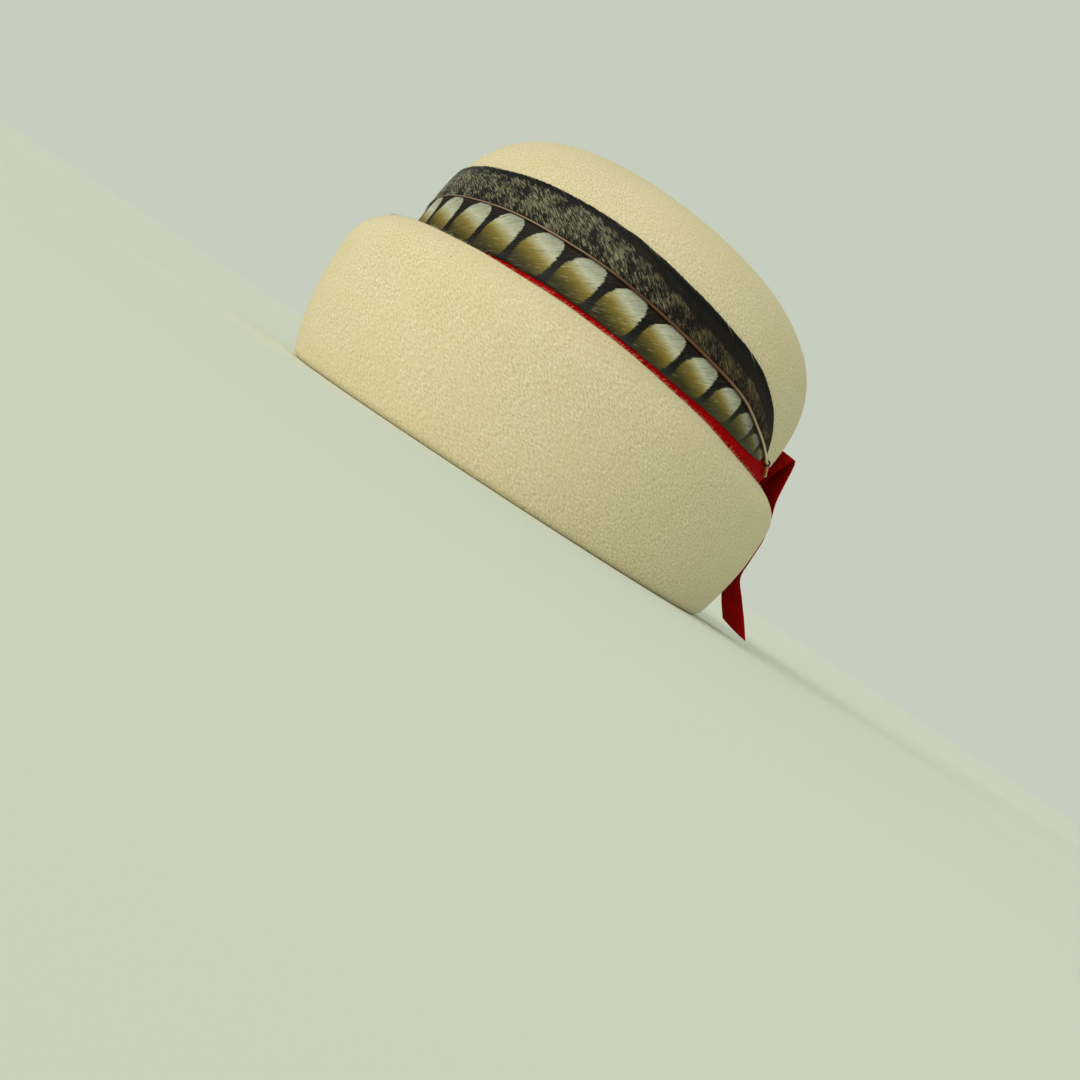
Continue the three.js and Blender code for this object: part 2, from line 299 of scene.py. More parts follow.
def ripple(angle, waves):
    """The sum of a table of waves round the hat."""
    return sum(wave["size"] * np.sin(wave["count"] * angle + wave["phase"]) for wave in waves)


# The felt's form

def oval(angle, half_width, half_length, centre_y, centre_z, lean=0.0):
    """Points of an oval ring that leans back."""
    reach = half_length * np.sin(angle)
    x = half_width * np.cos(angle)
    return np.stack(
        np.broadcast_arrays(x, centre_y + reach * np.cos(lean), centre_z - reach * np.sin(lean)), -1
    )


def crown_inside(angle, rise):
    """Points of the crown's inside face, at a rise along its axis."""
    base, dome, round_ = CROWN["base_height"], CROWN["dome_height"], CROWN["roundness"]
    part = np.minimum(rise / base, 1)
    lean = CROWN["lean_back"] * smoothstep(part)
    over = np.maximum(rise - base, 0)
    shrink = np.maximum(1 - np.minimum(over / dome, 1) ** round_, 0) ** (1 / round_)
    shift = base * math.sin(CROWN["lean_back"]) * (part**3 - part**4 / 2)
    return oval(
        angle,
        (HEAD["half_width"] + (CROWN["half_width"] - HEAD["half_width"]) * part) * shrink,
        (HEAD["half_length"] + (CROWN["half_length"] - HEAD["half_length"]) * part) * shrink,
        shift + over * np.sin(lean),
        np.minimum(rise, base) + over * np.cos(lean),
        lean,
    )


def over_crown(angle, rise, gap):
    """Points over the crown's outside face, a gap off it."""
    angle, rise = np.broadcast_arrays(np.asarray(angle, float), np.asarray(rise, float))
    along = crown_inside(angle, rise - RISE_STEP) - crown_inside(angle, rise + RISE_STEP)
    around = crown_inside(angle + ANGLE_STEP, rise) - crown_inside(angle - ANGLE_STEP, rise)
    normal = unit(np.cross(along, around))
    offset = np.broadcast_to(FELT_THICKNESS + np.asarray(gap, float), angle.shape)
    return crown_inside(angle, rise) + normal * offset[..., None]


def brim_height(angle):
    """Height of the brim's edge."""
    to_back = np.sin(angle)
    ends = (BRIM["front_height"] + BRIM["back_height"]) / 2
    tilt = (BRIM["back_height"] - BRIM["front_height"]) / 2
    height = BRIM["side_height"] + tilt * to_back + (ends - BRIM["side_height"]) * to_back**2
    return height + ripple(angle, EDGE_WAVES)


def brim_oval(angle, inset, height):
    """Points of the brim's outside face, inset from its widest line."""
    drift = -BRIM["forward_drift"] * height
    return oval(angle, BRIM["half_width"] - inset, BRIM["half_length"] - inset, drift, height)


def crown_rings(angle):
    """Rings of the crown's inside face, from the middle of its top to the turn at the bottom."""
    rings = []
    for sweep in np.linspace(0.02, 1, FELT_RINGS["dome"]) * math.pi / 2:
        over = CROWN["dome_height"] * np.cos(sweep) ** (2 / CROWN["roundness"])
        rings.append(crown_inside(angle, CROWN["base_height"] + over))
    for rise in np.linspace(CROWN["base_height"], BRIM["lip_radius"], FELT_RINGS["wall"] + 1)[1:]:
        rings.append(crown_inside(angle, rise))
    for sweep in np.radians(np.linspace(0, 90, FELT_RINGS["lip"] + 1))[1:]:
        out = BRIM["lip_radius"] * (1 - math.cos(sweep))
        up = BRIM["lip_radius"] * (1 - math.sin(sweep))
        rings.append(oval(angle, HEAD["half_width"] + out, HEAD["half_length"] + out, 0, up))
    return rings


def brim_rings(angle):
    """Rings of the brim's outside face, from the flat it stands on to its edge."""
    rings = []
    radius, fold_inset, wall_sweep = BRIM["fold_radius"], BRIM["fold_inset"], BRIM["fold_sweep"]
    for sweep in np.linspace(0, wall_sweep, FELT_RINGS["fold"]):
        inset = fold_inset - radius * math.sin(sweep)
        rings.append(brim_oval(angle, inset, radius * (1 - math.cos(sweep))))
    wall_foot = radius * (1 - math.cos(wall_sweep))
    wall_inset = fold_inset - radius * math.sin(wall_sweep)
    for share in np.linspace(0, 1, FELT_RINGS["brim_low"] + 1)[1:]:
        height = wall_foot + (BRIM["belly_height"] - wall_foot) * share
        rings.append(brim_oval(angle, wall_inset * (1 - share) ** 2, height))
    # The rings lie closer together towards the edge.
    for share in 1 - (1 - np.linspace(0, 1, FELT_RINGS["brim_high"] + 1)[1:]) ** 1.3:
        height = BRIM["belly_height"] + (brim_height(angle) - BRIM["belly_height"]) * share
        rings.append(brim_oval(angle, BRIM["top_inset"] * share ** BRIM["top_curl"], height))
    return rings


def felt_profile(angle):
    """Rings of the face that starts inside the crown's top and ends at the brim's edge."""
    return np.stack(crown_rings(angle) + brim_rings(angle))


def blocking_unevenness(angle, height):
    """How far hand blocking moves the felt's faces. It leaves alone where the hat stands and
    where the trimmings lie."""
    brim_start = FELT_RINGS["dome"] + FELT_RINGS["wall"] + FELT_RINGS["lip"]
    is_brim = (np.arange(len(height)) >= brim_start)[:, None]
    swell = np.sin(height / SWELL["length"] + 2 * np.sin(angle)) * SWELL["size"] + ripple(angle, FACE_WAVES)
    dome, brim = UNEVEN_DOME, UNEVEN_BRIM
    fades = 1 - smoothstep((height - dome["end"]) / dome["fade_out"])
    on_dome = smoothstep((height - dome["start"]) / dome["fade_in"]) * fades * dome["share"]
    on_brim = smoothstep((height - brim["start"]) / brim["fade_in"]) * is_brim
    return swell * (on_dome + on_brim)


def felt_surface(count):
    """The felt's closed skin as a grid of points."""
    angle = np.linspace(0, 2 * math.pi, count, endpoint=False)
    inside = felt_profile(angle)
    along = np.gradient(inside, axis=0)
    around = felt_profile(angle + ANGLE_STEP) - felt_profile(angle - ANGLE_STEP)
    normal = unit(np.cross(along, around))
    inside = inside + normal * blocking_unevenness(angle, inside[..., 2])[..., None]
    outside = inside + normal * FELT_THICKNESS

    # The cut edge is rounded.
    edge_in, edge_out = inside[-1], outside[-1]
    across = (edge_out - edge_in) / 2
    up = unit(inside[-1] - inside[-2]) * FELT_THICKNESS / 2
    rim = [
        (edge_in + edge_out) / 2 - across * math.cos(turn) + up * math.sin(turn) * EDGE_FLATNESS
        for turn in np.radians(EDGE_TURNS)
    ]
    return np.concatenate([inside, np.stack(rim), outside[::-1]])


# Meshes

def quads_of(rows, columns, wrap_rows=False, wrap_columns=False):
    """Corners of the faces of a grid, as (row, column) pairs, in turn round each face."""
    i, j = np.meshgrid(
        np.arange(rows if wrap_rows else rows - 1),
        np.arange(columns if wrap_columns else columns - 1),
        indexing="ij",
    )
    return [(i, j), (i, j + 1), (i + 1, j + 1), (i + 1, j)]


def add_object(name, data):
    obj = bpy.data.objects.new(name, data)
    bpy.context.scene.collection.objects.link(obj)
    return obj


def mesh_object(name, material, points, loops, counts, maps):
    """A smooth mesh object. Points are in millimetres, loops holds the corners of all faces
    in turn, counts how many corners each face has, and maps the named places of corners."""
    mesh = bpy.data.meshes.new(name)
    mesh.materials.append(material)
    points = np.asarray(points, float).reshape(-1, 3) + (0, SHIFT_Y, 0)
    mesh.vertices.add(len(points))
    mesh.vertices.foreach_set("co", (points * MM).ravel())
    mesh.loops.add(len(loops))
    mesh.loops.foreach_set("vertex_index", np.asarray(loops, np.int32))
    mesh.polygons.add(len(counts))
    starts = np.concatenate([[0], np.cumsum(counts)[:-1]])
    mesh.polygons.foreach_set("loop_start", starts.astype(np.int32))
    for map_name, values in maps.items():
        layer = mesh.uv_layers.new(name=map_name)
        layer.data.foreach_set("uv", np.asarray(values, float).ravel())
    mesh.update(calc_edges=True)
    mesh.validate()
    mesh.shade_smooth()
    return add_object(name, mesh)


def tube_mesh(name, material, rings, maps, close=True):
    """Many tubes in one mesh. Rings is an array of tube, ring, corner and point."""
    tubes, count, sides = rings.shape[:3]
    index = np.arange(tubes * count * sides).reshape(tubes, count, sides)
    corners = quads_of(count, sides, False, True)
    walls = np.stack([index[:, a, b % sides] for a, b in corners], -1).reshape(-1, 4)
    loops, counts = [walls.ravel()], [np.full(len(walls), 4)]
    if close:
        for cap in (index[:, 0, ::-1], index[:, -1, :]):
            loops.append(cap.ravel())
            counts.append(np.full(tubes, sides))
    loops = np.concatenate(loops)
    corner_maps = {key: np.asarray(value, float).reshape(-1, 2)[loops] for key, value in maps.items()}
    return mesh_object(name, material, rings, loops, np.concatenate(counts), corner_maps)


def sheet_mesh(name, material, front, back, grid_map, ring=False):
    """A thin closed sheet between two grids of points. The map gives each grid point's place."""
    rows, columns = front.shape[:2]
    strip = np.concatenate([front, back[:, ::-1]], axis=1)
    place = np.concatenate([grid_map, grid_map[:, ::-1]], axis=1)
    across = 2 * columns
    corners = quads_of(rows, across, ring, True)
    index = [(a % rows) * across + b % across for a, b in corners]
    faces = np.stack(index, -1).reshape(-1, 4)
    uv = np.stack([place[np.minimum(a, len(place) - 1), b % across] for a, b in corners], -2)
    loops, counts, uvs = [faces.ravel()], [np.full(len(faces), 4)], [uv.reshape(-1, 2)]
    if not ring:
        flat_place = place.reshape(-1, 2)
        first, last = np.arange(columns - 1), (rows - 1) * across
        for start, flip in ((0, False), (last, True)):
            a, b = start + first, start + first + 1
            c, d = start + across - 2 - first, start + across - 1 - first
            cap = np.stack([a, d, c, b] if flip else [a, b, c, d], -1)
            loops.append(cap.ravel())
            counts.append(np.full(len(cap), 4))
            uvs.append(flat_place[cap.ravel() % len(flat_place)])
    maps = {"cloth": np.concatenate(uvs)}
    return mesh_object(name, material, strip, np.concatenate(loops), np.concatenate(counts), maps)


# Materials

class Surface:
    """A material as it is built: each call adds nodes and gives back an output."""

    def __init__(self, name, roughness, specular=0.5, **constants):
        self.material = bpy.data.materials.new(name)
        self.material.use_nodes = True
        self.tree = self.material.node_tree
        self.tree.nodes.clear()
        self.shader = self.tree.nodes.new("ShaderNodeBsdfPrincipled")
        output = self.tree.nodes.new("ShaderNodeOutputMaterial")
        self.tree.links.new(self.shader.outputs[0], output.inputs[0])
        self.set("Roughness", roughness)
        self.set("Specular IOR Level", specular)
        for key, value in constants.items():
            self.set(key.replace("_", " "), value)

    def node(self, kind, settings, values, output=0):
        made = self.tree.nodes.new(kind)
        for key, value in settings.items():
            setattr(made, key, value)
        for key, value in values.items():
            self.join(value, made.inputs[key])
        return made.outputs[output]

    def join(self, value, socket):
        """Link an output to a socket, or set it. Colours are set as screen values."""
        if isinstance(value, bpy.types.NodeSocket):
            self.tree.links.new(value, socket)
        else:
            socket.default_value = srgb(*value) if socket.type == "RGBA" else value

    def set(self, name, value):
        self.join(value, self.shader.inputs[name])

    def uv(self, name):
        return self.node("ShaderNodeUVMap", {"uv_map": name}, {})

    def place(self):
        return self.node("ShaderNodeTexCoord", {}, {}, "Object")

    def parts(self, vector):
        made = self.tree.nodes.new("ShaderNodeSeparateXYZ")
        self.join(vector, made.inputs[0])
        return tuple(made.outputs)

    def vector(self, x, y):
        return self.node("ShaderNodeCombineXYZ", {}, {0: x, 1: y})

    def math(self, operation, a, b=0.0):
        return self.node("ShaderNodeMath", {"operation": operation}, {0: a, 1: b})

    def scaled(self, value, share):
        return self.math("MULTIPLY", value, share)

    def centred(self, value, share):
        """A value from 0 to 1 made to swing round 0 instead, times a share."""
        return self.scaled(self.math("SUBTRACT", value, 0.5), share)

    def turned(self, vector, degrees, scale):
        """The vector turned in its plane, then stretched."""
        turn = (0, 0, math.radians(degrees))
        spun = self.node("ShaderNodeMapping", {}, {"Vector": vector, "Rotation": turn})
        return self.node("ShaderNodeMapping", {}, {"Vector": spun, "Scale": scale})

    def noise(self, vector, scale=1.0, **settings):
        """Settings are detail, roughness and distortion."""
        values = {key.title(): value for key, value in settings.items()}
        return self.node("ShaderNodeTexNoise", {}, {"Vector": vector, "Scale": scale} | values)

    def ramp(self, value, stops):
        """Stops are (position, colour or number)."""
        made = self.tree.nodes.new("ShaderNodeValToRGB")
        elements = made.color_ramp.elements
        while len(elements) < len(stops):
            elements.new(0.5)
        for element, (position, colour) in zip(elements, stops):
            element.position = position
            element.color = srgb(*colour) if isinstance(colour, tuple) else (colour, colour, colour, 1)
        self.join(value, made.inputs[0])
        return made.outputs[0]

    def mix(self, share, a, b):
        """A colour between a and b."""
        return self.node("ShaderNodeMix", {"data_type": "RGBA"}, {0: share, 6: a, 7: b}, 2)

    def blend(self, share, a, b):
        """A number between a and b."""
        return self.node("ShaderNodeMix", {}, {0: share, 2: a, 3: b})

    def step(self, value, low, high):
        """0 below low, 1 above high, smooth between."""
        return self.node(
            "ShaderNodeMapRange", {"interpolation_type": "SMOOTHSTEP"},
            {"Value": value, "From Min": low, "From Max": high},
        )

    def bump(self, height, strength, distance, normal=None):
        values = {"Height": height, "Strength": strength, "Distance": distance}
        if normal is not None:
            values["Normal"] = normal
        return self.node("ShaderNodeBump", {}, values)


def felt_material():
    s = Surface("felt_velour", 0.95, 0.12, Sheen_Weight=0.14, Sheen_Roughness=0.5, Sheen_Tint=(255, 244, 214))

    # The nap is brushed, so its fibres make short streaks in two slightly crossed directions.
    nap = s.uv("nap")
    streaks = s.noise(s.turned(nap, 24, (640, 2700, 1)), detail=2, roughness=0.55, distortion=0.25)
    crossed = s.noise(s.turned(nap, 44, (860, 2900, 1)), detail=2, roughness=0.55, distortion=0.4)
    fibre = s.blend(0.4, streaks, crossed)
    place = s.place()
    grain = s.noise(place, scale=2600, detail=2, roughness=0.6)
    cloud = s.noise(place, scale=38, detail=3, roughness=0.55)
    patch = s.noise(place, scale=9, detail=2)

    # Over the streaks lie darker clouds, wide paler patches and a fine dark grain.
    tone = s.ramp(fibre, [(0.36, (176, 163, 127)), (0.50, (211, 199, 166)), (0.64, (240, 231, 207))])
    tone = s.mix(s.scaled(s.step(cloud, 0.35, 0.75), 0.22), tone, (200, 184, 136))
    tone = s.mix(s.scaled(s.step(patch, 0.40, 0.70), 0.18), tone, (230, 218, 176))
    tone = s.mix(s.scaled(s.step(grain, 0.45, 0.75), 0.22), tone, (184, 166, 118))

    # Here and there a dark speck is caught in it.
    cells = s.node("ShaderNodeTexVoronoi", {}, {"Vector": place, "Scale": 62.0}, "Distance")
    speck = s.step(cells, 0.030, 0.014)
    rare = s.step(s.noise(place, scale=21), 0.60, 0.62)
    tone = s.mix(s.math("MULTIPLY", speck, rare), tone, (96, 80, 58))
    s.set("Base Color", tone)

    soft = s.bump(cloud, 0.10, 0.0010)
    s.set("Normal", s.bump(s.math("ADD", fibre, s.scaled(grain, 0.5)), 0.32, 0.0002, soft))
    return s.material


def nap_fibre_material():
    s = Surface("felt_fibre", 0.8, Sheen_Weight=0.3)
    s.set("Base Color", s.ramp(s.noise(s.place(), scale=700), [
        (0.35, (214, 202, 166)), (0.65, (240, 232, 204)),
    ]))
    return s.material


def ribbon_material(name):
    """Ribbed ribbon. The map's first place runs along the ribbon, the second across it."""
    s = Surface(name, 0.8, 0.04, Sheen_Weight=0.02, Sheen_Roughness=0.35, Sheen_Tint=(255, 90, 80))
    cloth = s.uv("cloth")
    length, _, _ = s.parts(cloth)
    ribs = s.math("SINE", s.scaled(length, 2 * math.pi / (RIBBON["rib_pitch"] * MM)))
    threads = s.noise(s.turned(cloth, 0, (5200, 900, 1)), detail=2, roughness=0.6)
    wear = s.noise(s.place(), scale=160, detail=3)

    # The threads are darker, and the grooves between the ribs get painted shade.
    tone = s.ramp(wear, [(0.3, (172, 3, 5)), (0.7, (204, 7, 8))])
    tone = s.mix(s.scaled(s.step(threads, 0.4, 0.8), 0.35), tone, (126, 2, 4))
    tone = s.mix(s.step(ribs, -0.4, -1.0), tone, (108, 2, 4))
    s.set("Base Color", tone)
    height = s.math("ADD", s.scaled(ribs, 0.5), s.scaled(threads, 0.5))
    s.set("Normal", s.bump(height, 0.6, 0.00018))
    return s.material


def barb_values(s):
    """The feather's maps: spot number, share across the vane, barb's root, length along the
    barb, and a random number for each barb."""
    spot, share, _ = s.parts(s.uv("plume"))
    root, length, _ = s.parts(s.uv("barb"))
    random = s.node("ShaderNodeTexWhiteNoise", {"noise_dimensions": "1D"}, {"W": root})
    return spot, share, root, length, random


def barb_noise(s, root, length, across, along, detail=3.0):
    """Noise whose spots are stretched along the barbs. Sizes in millimetres."""
    place = s.vector(s.scaled(root, 1 / across), s.scaled(length, 1 / along))
    return s.noise(place, detail=detail, roughness=0.6)


def lower_vane_material():
    s = Surface("feather_spotted", 0.45, 0.25)
    spot, share, root, length, random = barb_values(s)
    streak = barb_noise(s, root, length, 0.45, 10.0)
    edge = barb_noise(s, root, length, 0.9, 4.0)
    jitter = s.math("ADD", s.centred(edge, 0.07), s.centred(random, 0.035))
    moved = s.math("ADD", s.math("FRACT", s.math("ADD", spot, 0.5)), jitter)

    # Along the vane a spot reaches from tip_side to root_side, both shares of the distance
    # between spots, which change with the share of the way across.
    tip_side = s.ramp(share, [
        (0.00, 0.45), (0.08, 0.32), (0.15, 0.24), (0.24, 0.18), (0.40, 0.11), (0.62, 0.09), (1.00, 0.11),
    ])
    root_side = s.ramp(share, [
        (0.00, 0.76), (0.05, 0.84), (0.12, 0.89), (0.24, 0.92), (0.60, 0.93), (0.85, 0.90), (1.00, 0.82),
    ])
    past_tip_side = s.step(s.math("SUBTRACT", moved, tip_side), -0.012, 0.018)
    before_root_side = s.step(s.math("SUBTRACT", root_side, moved), -0.012, 0.018)
    is_spot = s.math("MULTIPLY", past_tip_side, before_root_side)

    # A spot is white at the shaft and golden further out, and the gold comes closer to the
    # shaft on the tip side.
    depth = s.math("ADD", share, s.scaled(s.math("SUBTRACT", 0.62, moved), 0.34))
    depth = s.math("ADD", depth, s.centred(edge, 0.12))
    pale = s.ramp(depth, [
        (0.10, (178, 181, 166)), (0.34, (204, 205, 186)), (0.46, (180, 174, 128)),
        (0.58, (146, 128, 56)), (0.76, (104, 92, 34)), (0.93, (62, 58, 28)),
    ])

    # Single barbs show as dark and bright hair lines.
    hair = s.step(streak, 0.53, 0.64)
    pale = s.mix(s.scaled(hair, 0.42), pale, (92, 92, 74))
    bright = s.step(streak, 0.42, 0.30)
    pale = s.mix(s.scaled(bright, 0.32), pale, (234, 233, 216))

    dark = s.ramp(share, [
        (0.0, (36, 20, 16)), (0.25, (10, 8, 9)), (0.70, (16, 17, 20)), (1.0, (44, 47, 48)),
    ])
    dark = s.mix(s.scaled(hair, 0.30), dark, (72, 72, 72))
    tone = s.mix(is_spot, dark, pale)

    # The outer rim is darker, and the spots near the root are duller.
    rim = s.step(s.math("ADD", share, s.centred(edge, 0.10)), 0.93, 1.0)
    tone = s.mix(s.scaled(rim, 0.7), tone, (42, 42, 32))
    tone = s.mix(s.scaled(s.step(root, 45.0, 15.0), 0.55), tone, (70, 72, 48))
    tone = s.mix(s.scaled(random, 0.10), tone, (60, 56, 40))
    s.set("Base Color", tone)
    s.set("Normal", s.bump(streak, 0.3, 0.0002))
    return s.material


def upper_vane_material():
    s = Surface("feather_mottled", 0.42, 0.22)
    _, share, root, length, _ = barb_values(s)
    fleck = barb_noise(s, root, length, 1.0, 3.4, 2.5)
    fine = barb_noise(s, root, length, 0.45, 7.0)
    cloud = s.noise(s.place(), scale=140, detail=2, roughness=0.55)

    # Towards the root the flecks keep closer to the shaft.
    to_root = s.step(root, 125.0, 60.0)
    reach = s.math("SUBTRACT", 0.99, s.scaled(to_root, 0.42))
    fade = s.step(s.math("DIVIDE", share, reach), 0.80, 1.02)
    level = s.math("ADD", fleck, s.centred(cloud, 0.60))
    level = s.math("SUBTRACT", level, s.scaled(fade, 0.30))
    flecks = s.step(level, 0.44, 0.60)

    # They are tan, and browner towards the root, on black.
    tan = s.ramp(fine, [(0.35, (72, 71, 56)), (0.50, (116, 113, 90)), (0.66, (170, 165, 137))])
    brown = s.ramp(fine, [(0.35, (50, 38, 28)), (0.55, (88, 72, 50)), (0.70, (134, 118, 88))])
    tan = s.mix(to_root, tan, brown)
    dark = s.ramp(fine, [(0.40, (9, 8, 9)), (0.62, (28, 27, 27))])
    dark = s.mix(s.scaled(to_root, 0.5), dark, (30, 20, 16))
    tone = s.mix(flecks, dark, tan)

    # The upper rim is plain black, in a wider border towards the root.
    edge = s.math("ADD", share, s.centred(fine, 0.06))
    border = s.step(s.math("ADD", edge, s.scaled(to_root, 0.12)), 0.90, 0.96)
    s.set("Base Color", s.mix(border, tone, (9, 9, 10)))
    s.set("Normal", s.bump(fine, 0.3, 0.0002))
    return s.material


def quill_material():
    """The map's first place is the share from tip to root, the second the way round. The shaft has a painted
    highlight along its top, and its bare root is amber."""
    s = Surface("quill_horn", 0.42, 0.3, Coat_Weight=0.08)
    share, around, _ = s.parts(s.uv("horn"))
    grain = s.noise(s.vector(s.scaled(share, 60.0), s.scaled(around, 9.0)), detail=3)
    low = s.ramp(share, [
        (0.00, (24, 15, 13)), (0.30, (46, 24, 18)), (0.55, (70, 38, 22)), (0.80, (66, 40, 26)),
        (0.88, (112, 78, 38)), (0.90, (176, 98, 12)), (0.97, (150, 76, 12)), (1.0, (206, 180, 120)),
    ])
    high = s.ramp(share, [
        (0.00, (38, 26, 21)), (0.27, (132, 114, 92)), (0.40, (138, 114, 88)), (0.52, (84, 52, 34)),
        (0.68, (112, 74, 44)), (0.78, (178, 158, 122)), (0.87, (222, 212, 168)),
        (0.90, (222, 150, 26)), (0.97, (206, 112, 12)), (1.0, (222, 206, 158)),
    ])
    # A painted highlight: a paler copy of the shaft's colours runs along its top.
    from_top = s.math("ABSOLUTE", s.math("SUBTRACT", around, 0.5))
    tone = s.mix(s.step(from_top, 0.12, 0.05), low, high)
    tone = s.mix(s.scaled(s.step(grain, 0.45, 0.7), 0.35), tone, (60, 34, 16))
    s.set("Base Color", tone)
    s.set("Normal", s.bump(grain, 0.2, 0.0002))
    return s.material


def thread_material():
    s = Surface("black_thread", 0.7, 0.2)
    along, around, _ = s.parts(s.uv("horn"))
    strands = s.noise(s.vector(s.scaled(along, 90.0), s.scaled(around, 6.0)), detail=2)
    s.set("Base Color", s.ramp(strands, [(0.3, (6, 5, 5)), (0.7, (24, 22, 20))]))
    s.set("Normal", s.bump(strands, 0.5, 0.0001))
    return s.material


# The felt and its fibres

def felt_body():
    count = FELT_COLUMNS
    grid = felt_surface(count)
    rows = len(grid)
    steps = np.linalg.norm(np.diff(grid, axis=0), axis=-1).mean(axis=1)
    along = np.concatenate([[0], np.cumsum(steps)])
    # The map keeps its scale round the widest part of the hat, 105 mm from its middle.
    around = np.linspace(0, 2 * math.pi * 105, count + 1)
    u, v = np.meshgrid(around, along)
    place = np.stack([u, v], -1) * MM
    corners = quads_of(rows, count, False, True)
    faces = np.stack([a * count + b % count for a, b in corners], -1).reshape(-1, 4)
    uv = np.stack([place[a, b] for a, b in corners], -2).reshape(-1, 2)
    loops, counts, uvs = [faces.ravel()], [np.full(len(faces), 4)], [uv]

    # A fan of triangles closes the middle of the crown's top on either face.
    j = np.arange(count)
    for hub, row in ((rows * count, 0), (rows * count + 1, rows - 1)):
        side = [(row * count + j, place[row, j]), (row * count + (j + 1) % count, place[row, j + 1])]
        if row == 0:
            side.reverse()
        fan = np.stack([np.full(count, hub)] + [corner for corner, _ in side], -1)
        loops.append(fan.ravel())
        counts.append(np.full(count, 3))
        uvs.append(np.stack([place[row, j]] + [spot for _, spot in side], 1).reshape(-1, 2))
    points = np.concatenate([grid.reshape(-1, 3), [grid[0].mean(axis=0), grid[-1].mean(axis=0)]])
    maps = {"nap": np.concatenate(uvs)}
    loops, counts = np.concatenate(loops), np.concatenate(counts)
    return mesh_object("hat_felt", felt_material(), points, loops, counts, maps)


def fibre_mesh(name, root, lean, bend, length, kind, close=True):
    """Three-sided tapered tubes that leave their roots along lean and turn aside along bend."""
    share = np.linspace(0, 1, kind["rings"])[None, :, None]
    path = lean[:, None] * share + bend[:, None] * share**2 * kind["bend"]
    line = root[:, None] + path * length[:, None]
    side = unit(np.cross(lean, bend))
    over = unit(np.cross(side, lean))
    turns = np.radians([0, 120, 240])[None, None, :, None]
    radius = (kind["radius"] * (1 - kind["taper"] * share))[..., None]
    circle = np.cos(turns) * side[:, None, None] + np.sin(turns) * over[:, None, None]
    return tube_mesh(name, nap_fibre_material(), line[:, :, None] + radius * circle, {}, close)


def brim_fibres():
    """Loose fibres of the nap that stand up from the brim's cut edge."""
    count = EDGE_FIBRES["count"]
    angle = rng.uniform(0, 2 * math.pi, count)
    inside = felt_profile(angle)
    along = unit(inside[-1] - inside[-2])
    around = unit(felt_profile(angle + ANGLE_STEP)[-1] - felt_profile(angle - ANGLE_STEP)[-1])
    across = unit(np.cross(along, around))
    turn = rng.uniform(math.radians(5), math.radians(175), count)[:, None]
    outward = -across * np.cos(turn) + along * np.sin(turn)
    root = inside[-1] + across * FELT_THICKNESS / 2 + outward * FELT_THICKNESS * 0.44
    lean = unit(outward + around * rng.uniform(0.1, 1.3, (count, 1)) + rng.normal(0, 0.35, (count, 3)))
    bend = unit(around + rng.normal(0, 0.6, (count, 3)))
    length = rng.uniform(EDGE_FIBRES["shortest"], EDGE_FIBRES["longest"], (count, 1))
    return fibre_mesh("brim_edge_fibres", root, lean, bend, length, EDGE_FIBRES)


def crown_roots(angle, share):
    """Places on the crown's outside at a share of the way down, and the way out there."""
    base, dome = CROWN["base_height"], CROWN["dome_height"]
    rise = base + dome * np.cos(share * math.pi / 2) ** (2 / CROWN["roundness"])
    root = over_crown(angle, np.minimum(rise, base + dome * NEARLY_ALL), 0)
    outward = unit(over_crown(angle, rise * NEARLY_ALL, 4) - over_crown(angle, rise * NEARLY_ALL, 0))
    return root, outward


def brim_roots(angle, share):
    """Places on the brim's outside at a share of the way up, and the way out there."""
    foot, belly, edge = BRIM["fold_radius"], BRIM["belly_height"], brim_height(angle)
    level = foot + (edge - foot) * share
    over = np.clip((level - belly) / (edge - belly), 0, 1)
    under = np.clip((belly - level) / belly, 0, 1)
    root = brim_oval(angle, BRIM["top_inset"] * over ** BRIM["top_curl"] + FOLD_TUCK * under**2, level)
    out = [np.cos(angle) / BRIM["half_width"], np.sin(angle) / BRIM["half_length"], np.zeros(len(angle))]
    return root, unit(np.stack(out, -1))


def nap_fibres():
    """Short loose fibres all over the felt's outer faces, laid round the hat."""
    count = NAP_FIBRES["count"]
    angle = rng.uniform(0, 2 * math.pi, count)
    share = rng.uniform(0, 1, count)
    on_crown = (rng.uniform(0, 1, count) < NAP_ON_CROWN)[:, None]
    crown, crown_out = crown_roots(angle, share)
    brim, brim_out = brim_roots(angle, share**0.9)
    outward = np.where(on_crown, crown_out, brim_out)
    root = np.where(on_crown, crown, brim) - outward * NAP_SUNK
    around = unit(np.stack([-np.sin(angle), np.cos(angle), np.full(count, -NAP_DROOP)], -1))
    lean = unit(outward * rng.uniform(0.15, 0.9, (count, 1)) + around + rng.normal(0, 0.35, (count, 3)))
    length = rng.uniform(NAP_FIBRES["shortest"], NAP_FIBRES["longest"], (count, 1))
    return fibre_mesh("hat_nap_fibres", root, lean, outward, length, NAP_FIBRES, close=False)


# The ribbon

def ribbon_band():
    """The band round the crown, and its length."""
    angle = np.linspace(0, 2 * math.pi, BAND["rows"], endpoint=False)
    low = RIBBON["top_rise"] - RIBBON["width"]
    rise = np.linspace(low, RIBBON["top_rise"], BAND["columns"])
    wave = ripple(angle, BAND_WAVES)[:, None]
    centre = np.linspace(-1, 1, BAND["columns"])[None]
    gap = CLEARANCE + BAND["slack"] + BAND["bulge"] * (1 - centre**2) + wave * BAND["unevenness"]
    back = over_crown(angle[:, None], rise[None], gap)
    front = over_crown(angle[:, None], rise[None], gap + BAND["thickness"])
    steps = np.linalg.norm(np.roll(front, -1, axis=0) - front, axis=-1)[:, BAND["columns"] // 2]
    length = np.concatenate([[0], np.cumsum(steps)])
    place = np.stack(np.meshgrid(length, rise - low, indexing="ij"), -1) * MM
    return sheet_mesh("red_band", ribbon_material("ribbon_band_red"), front, back, place, True), length[-1]


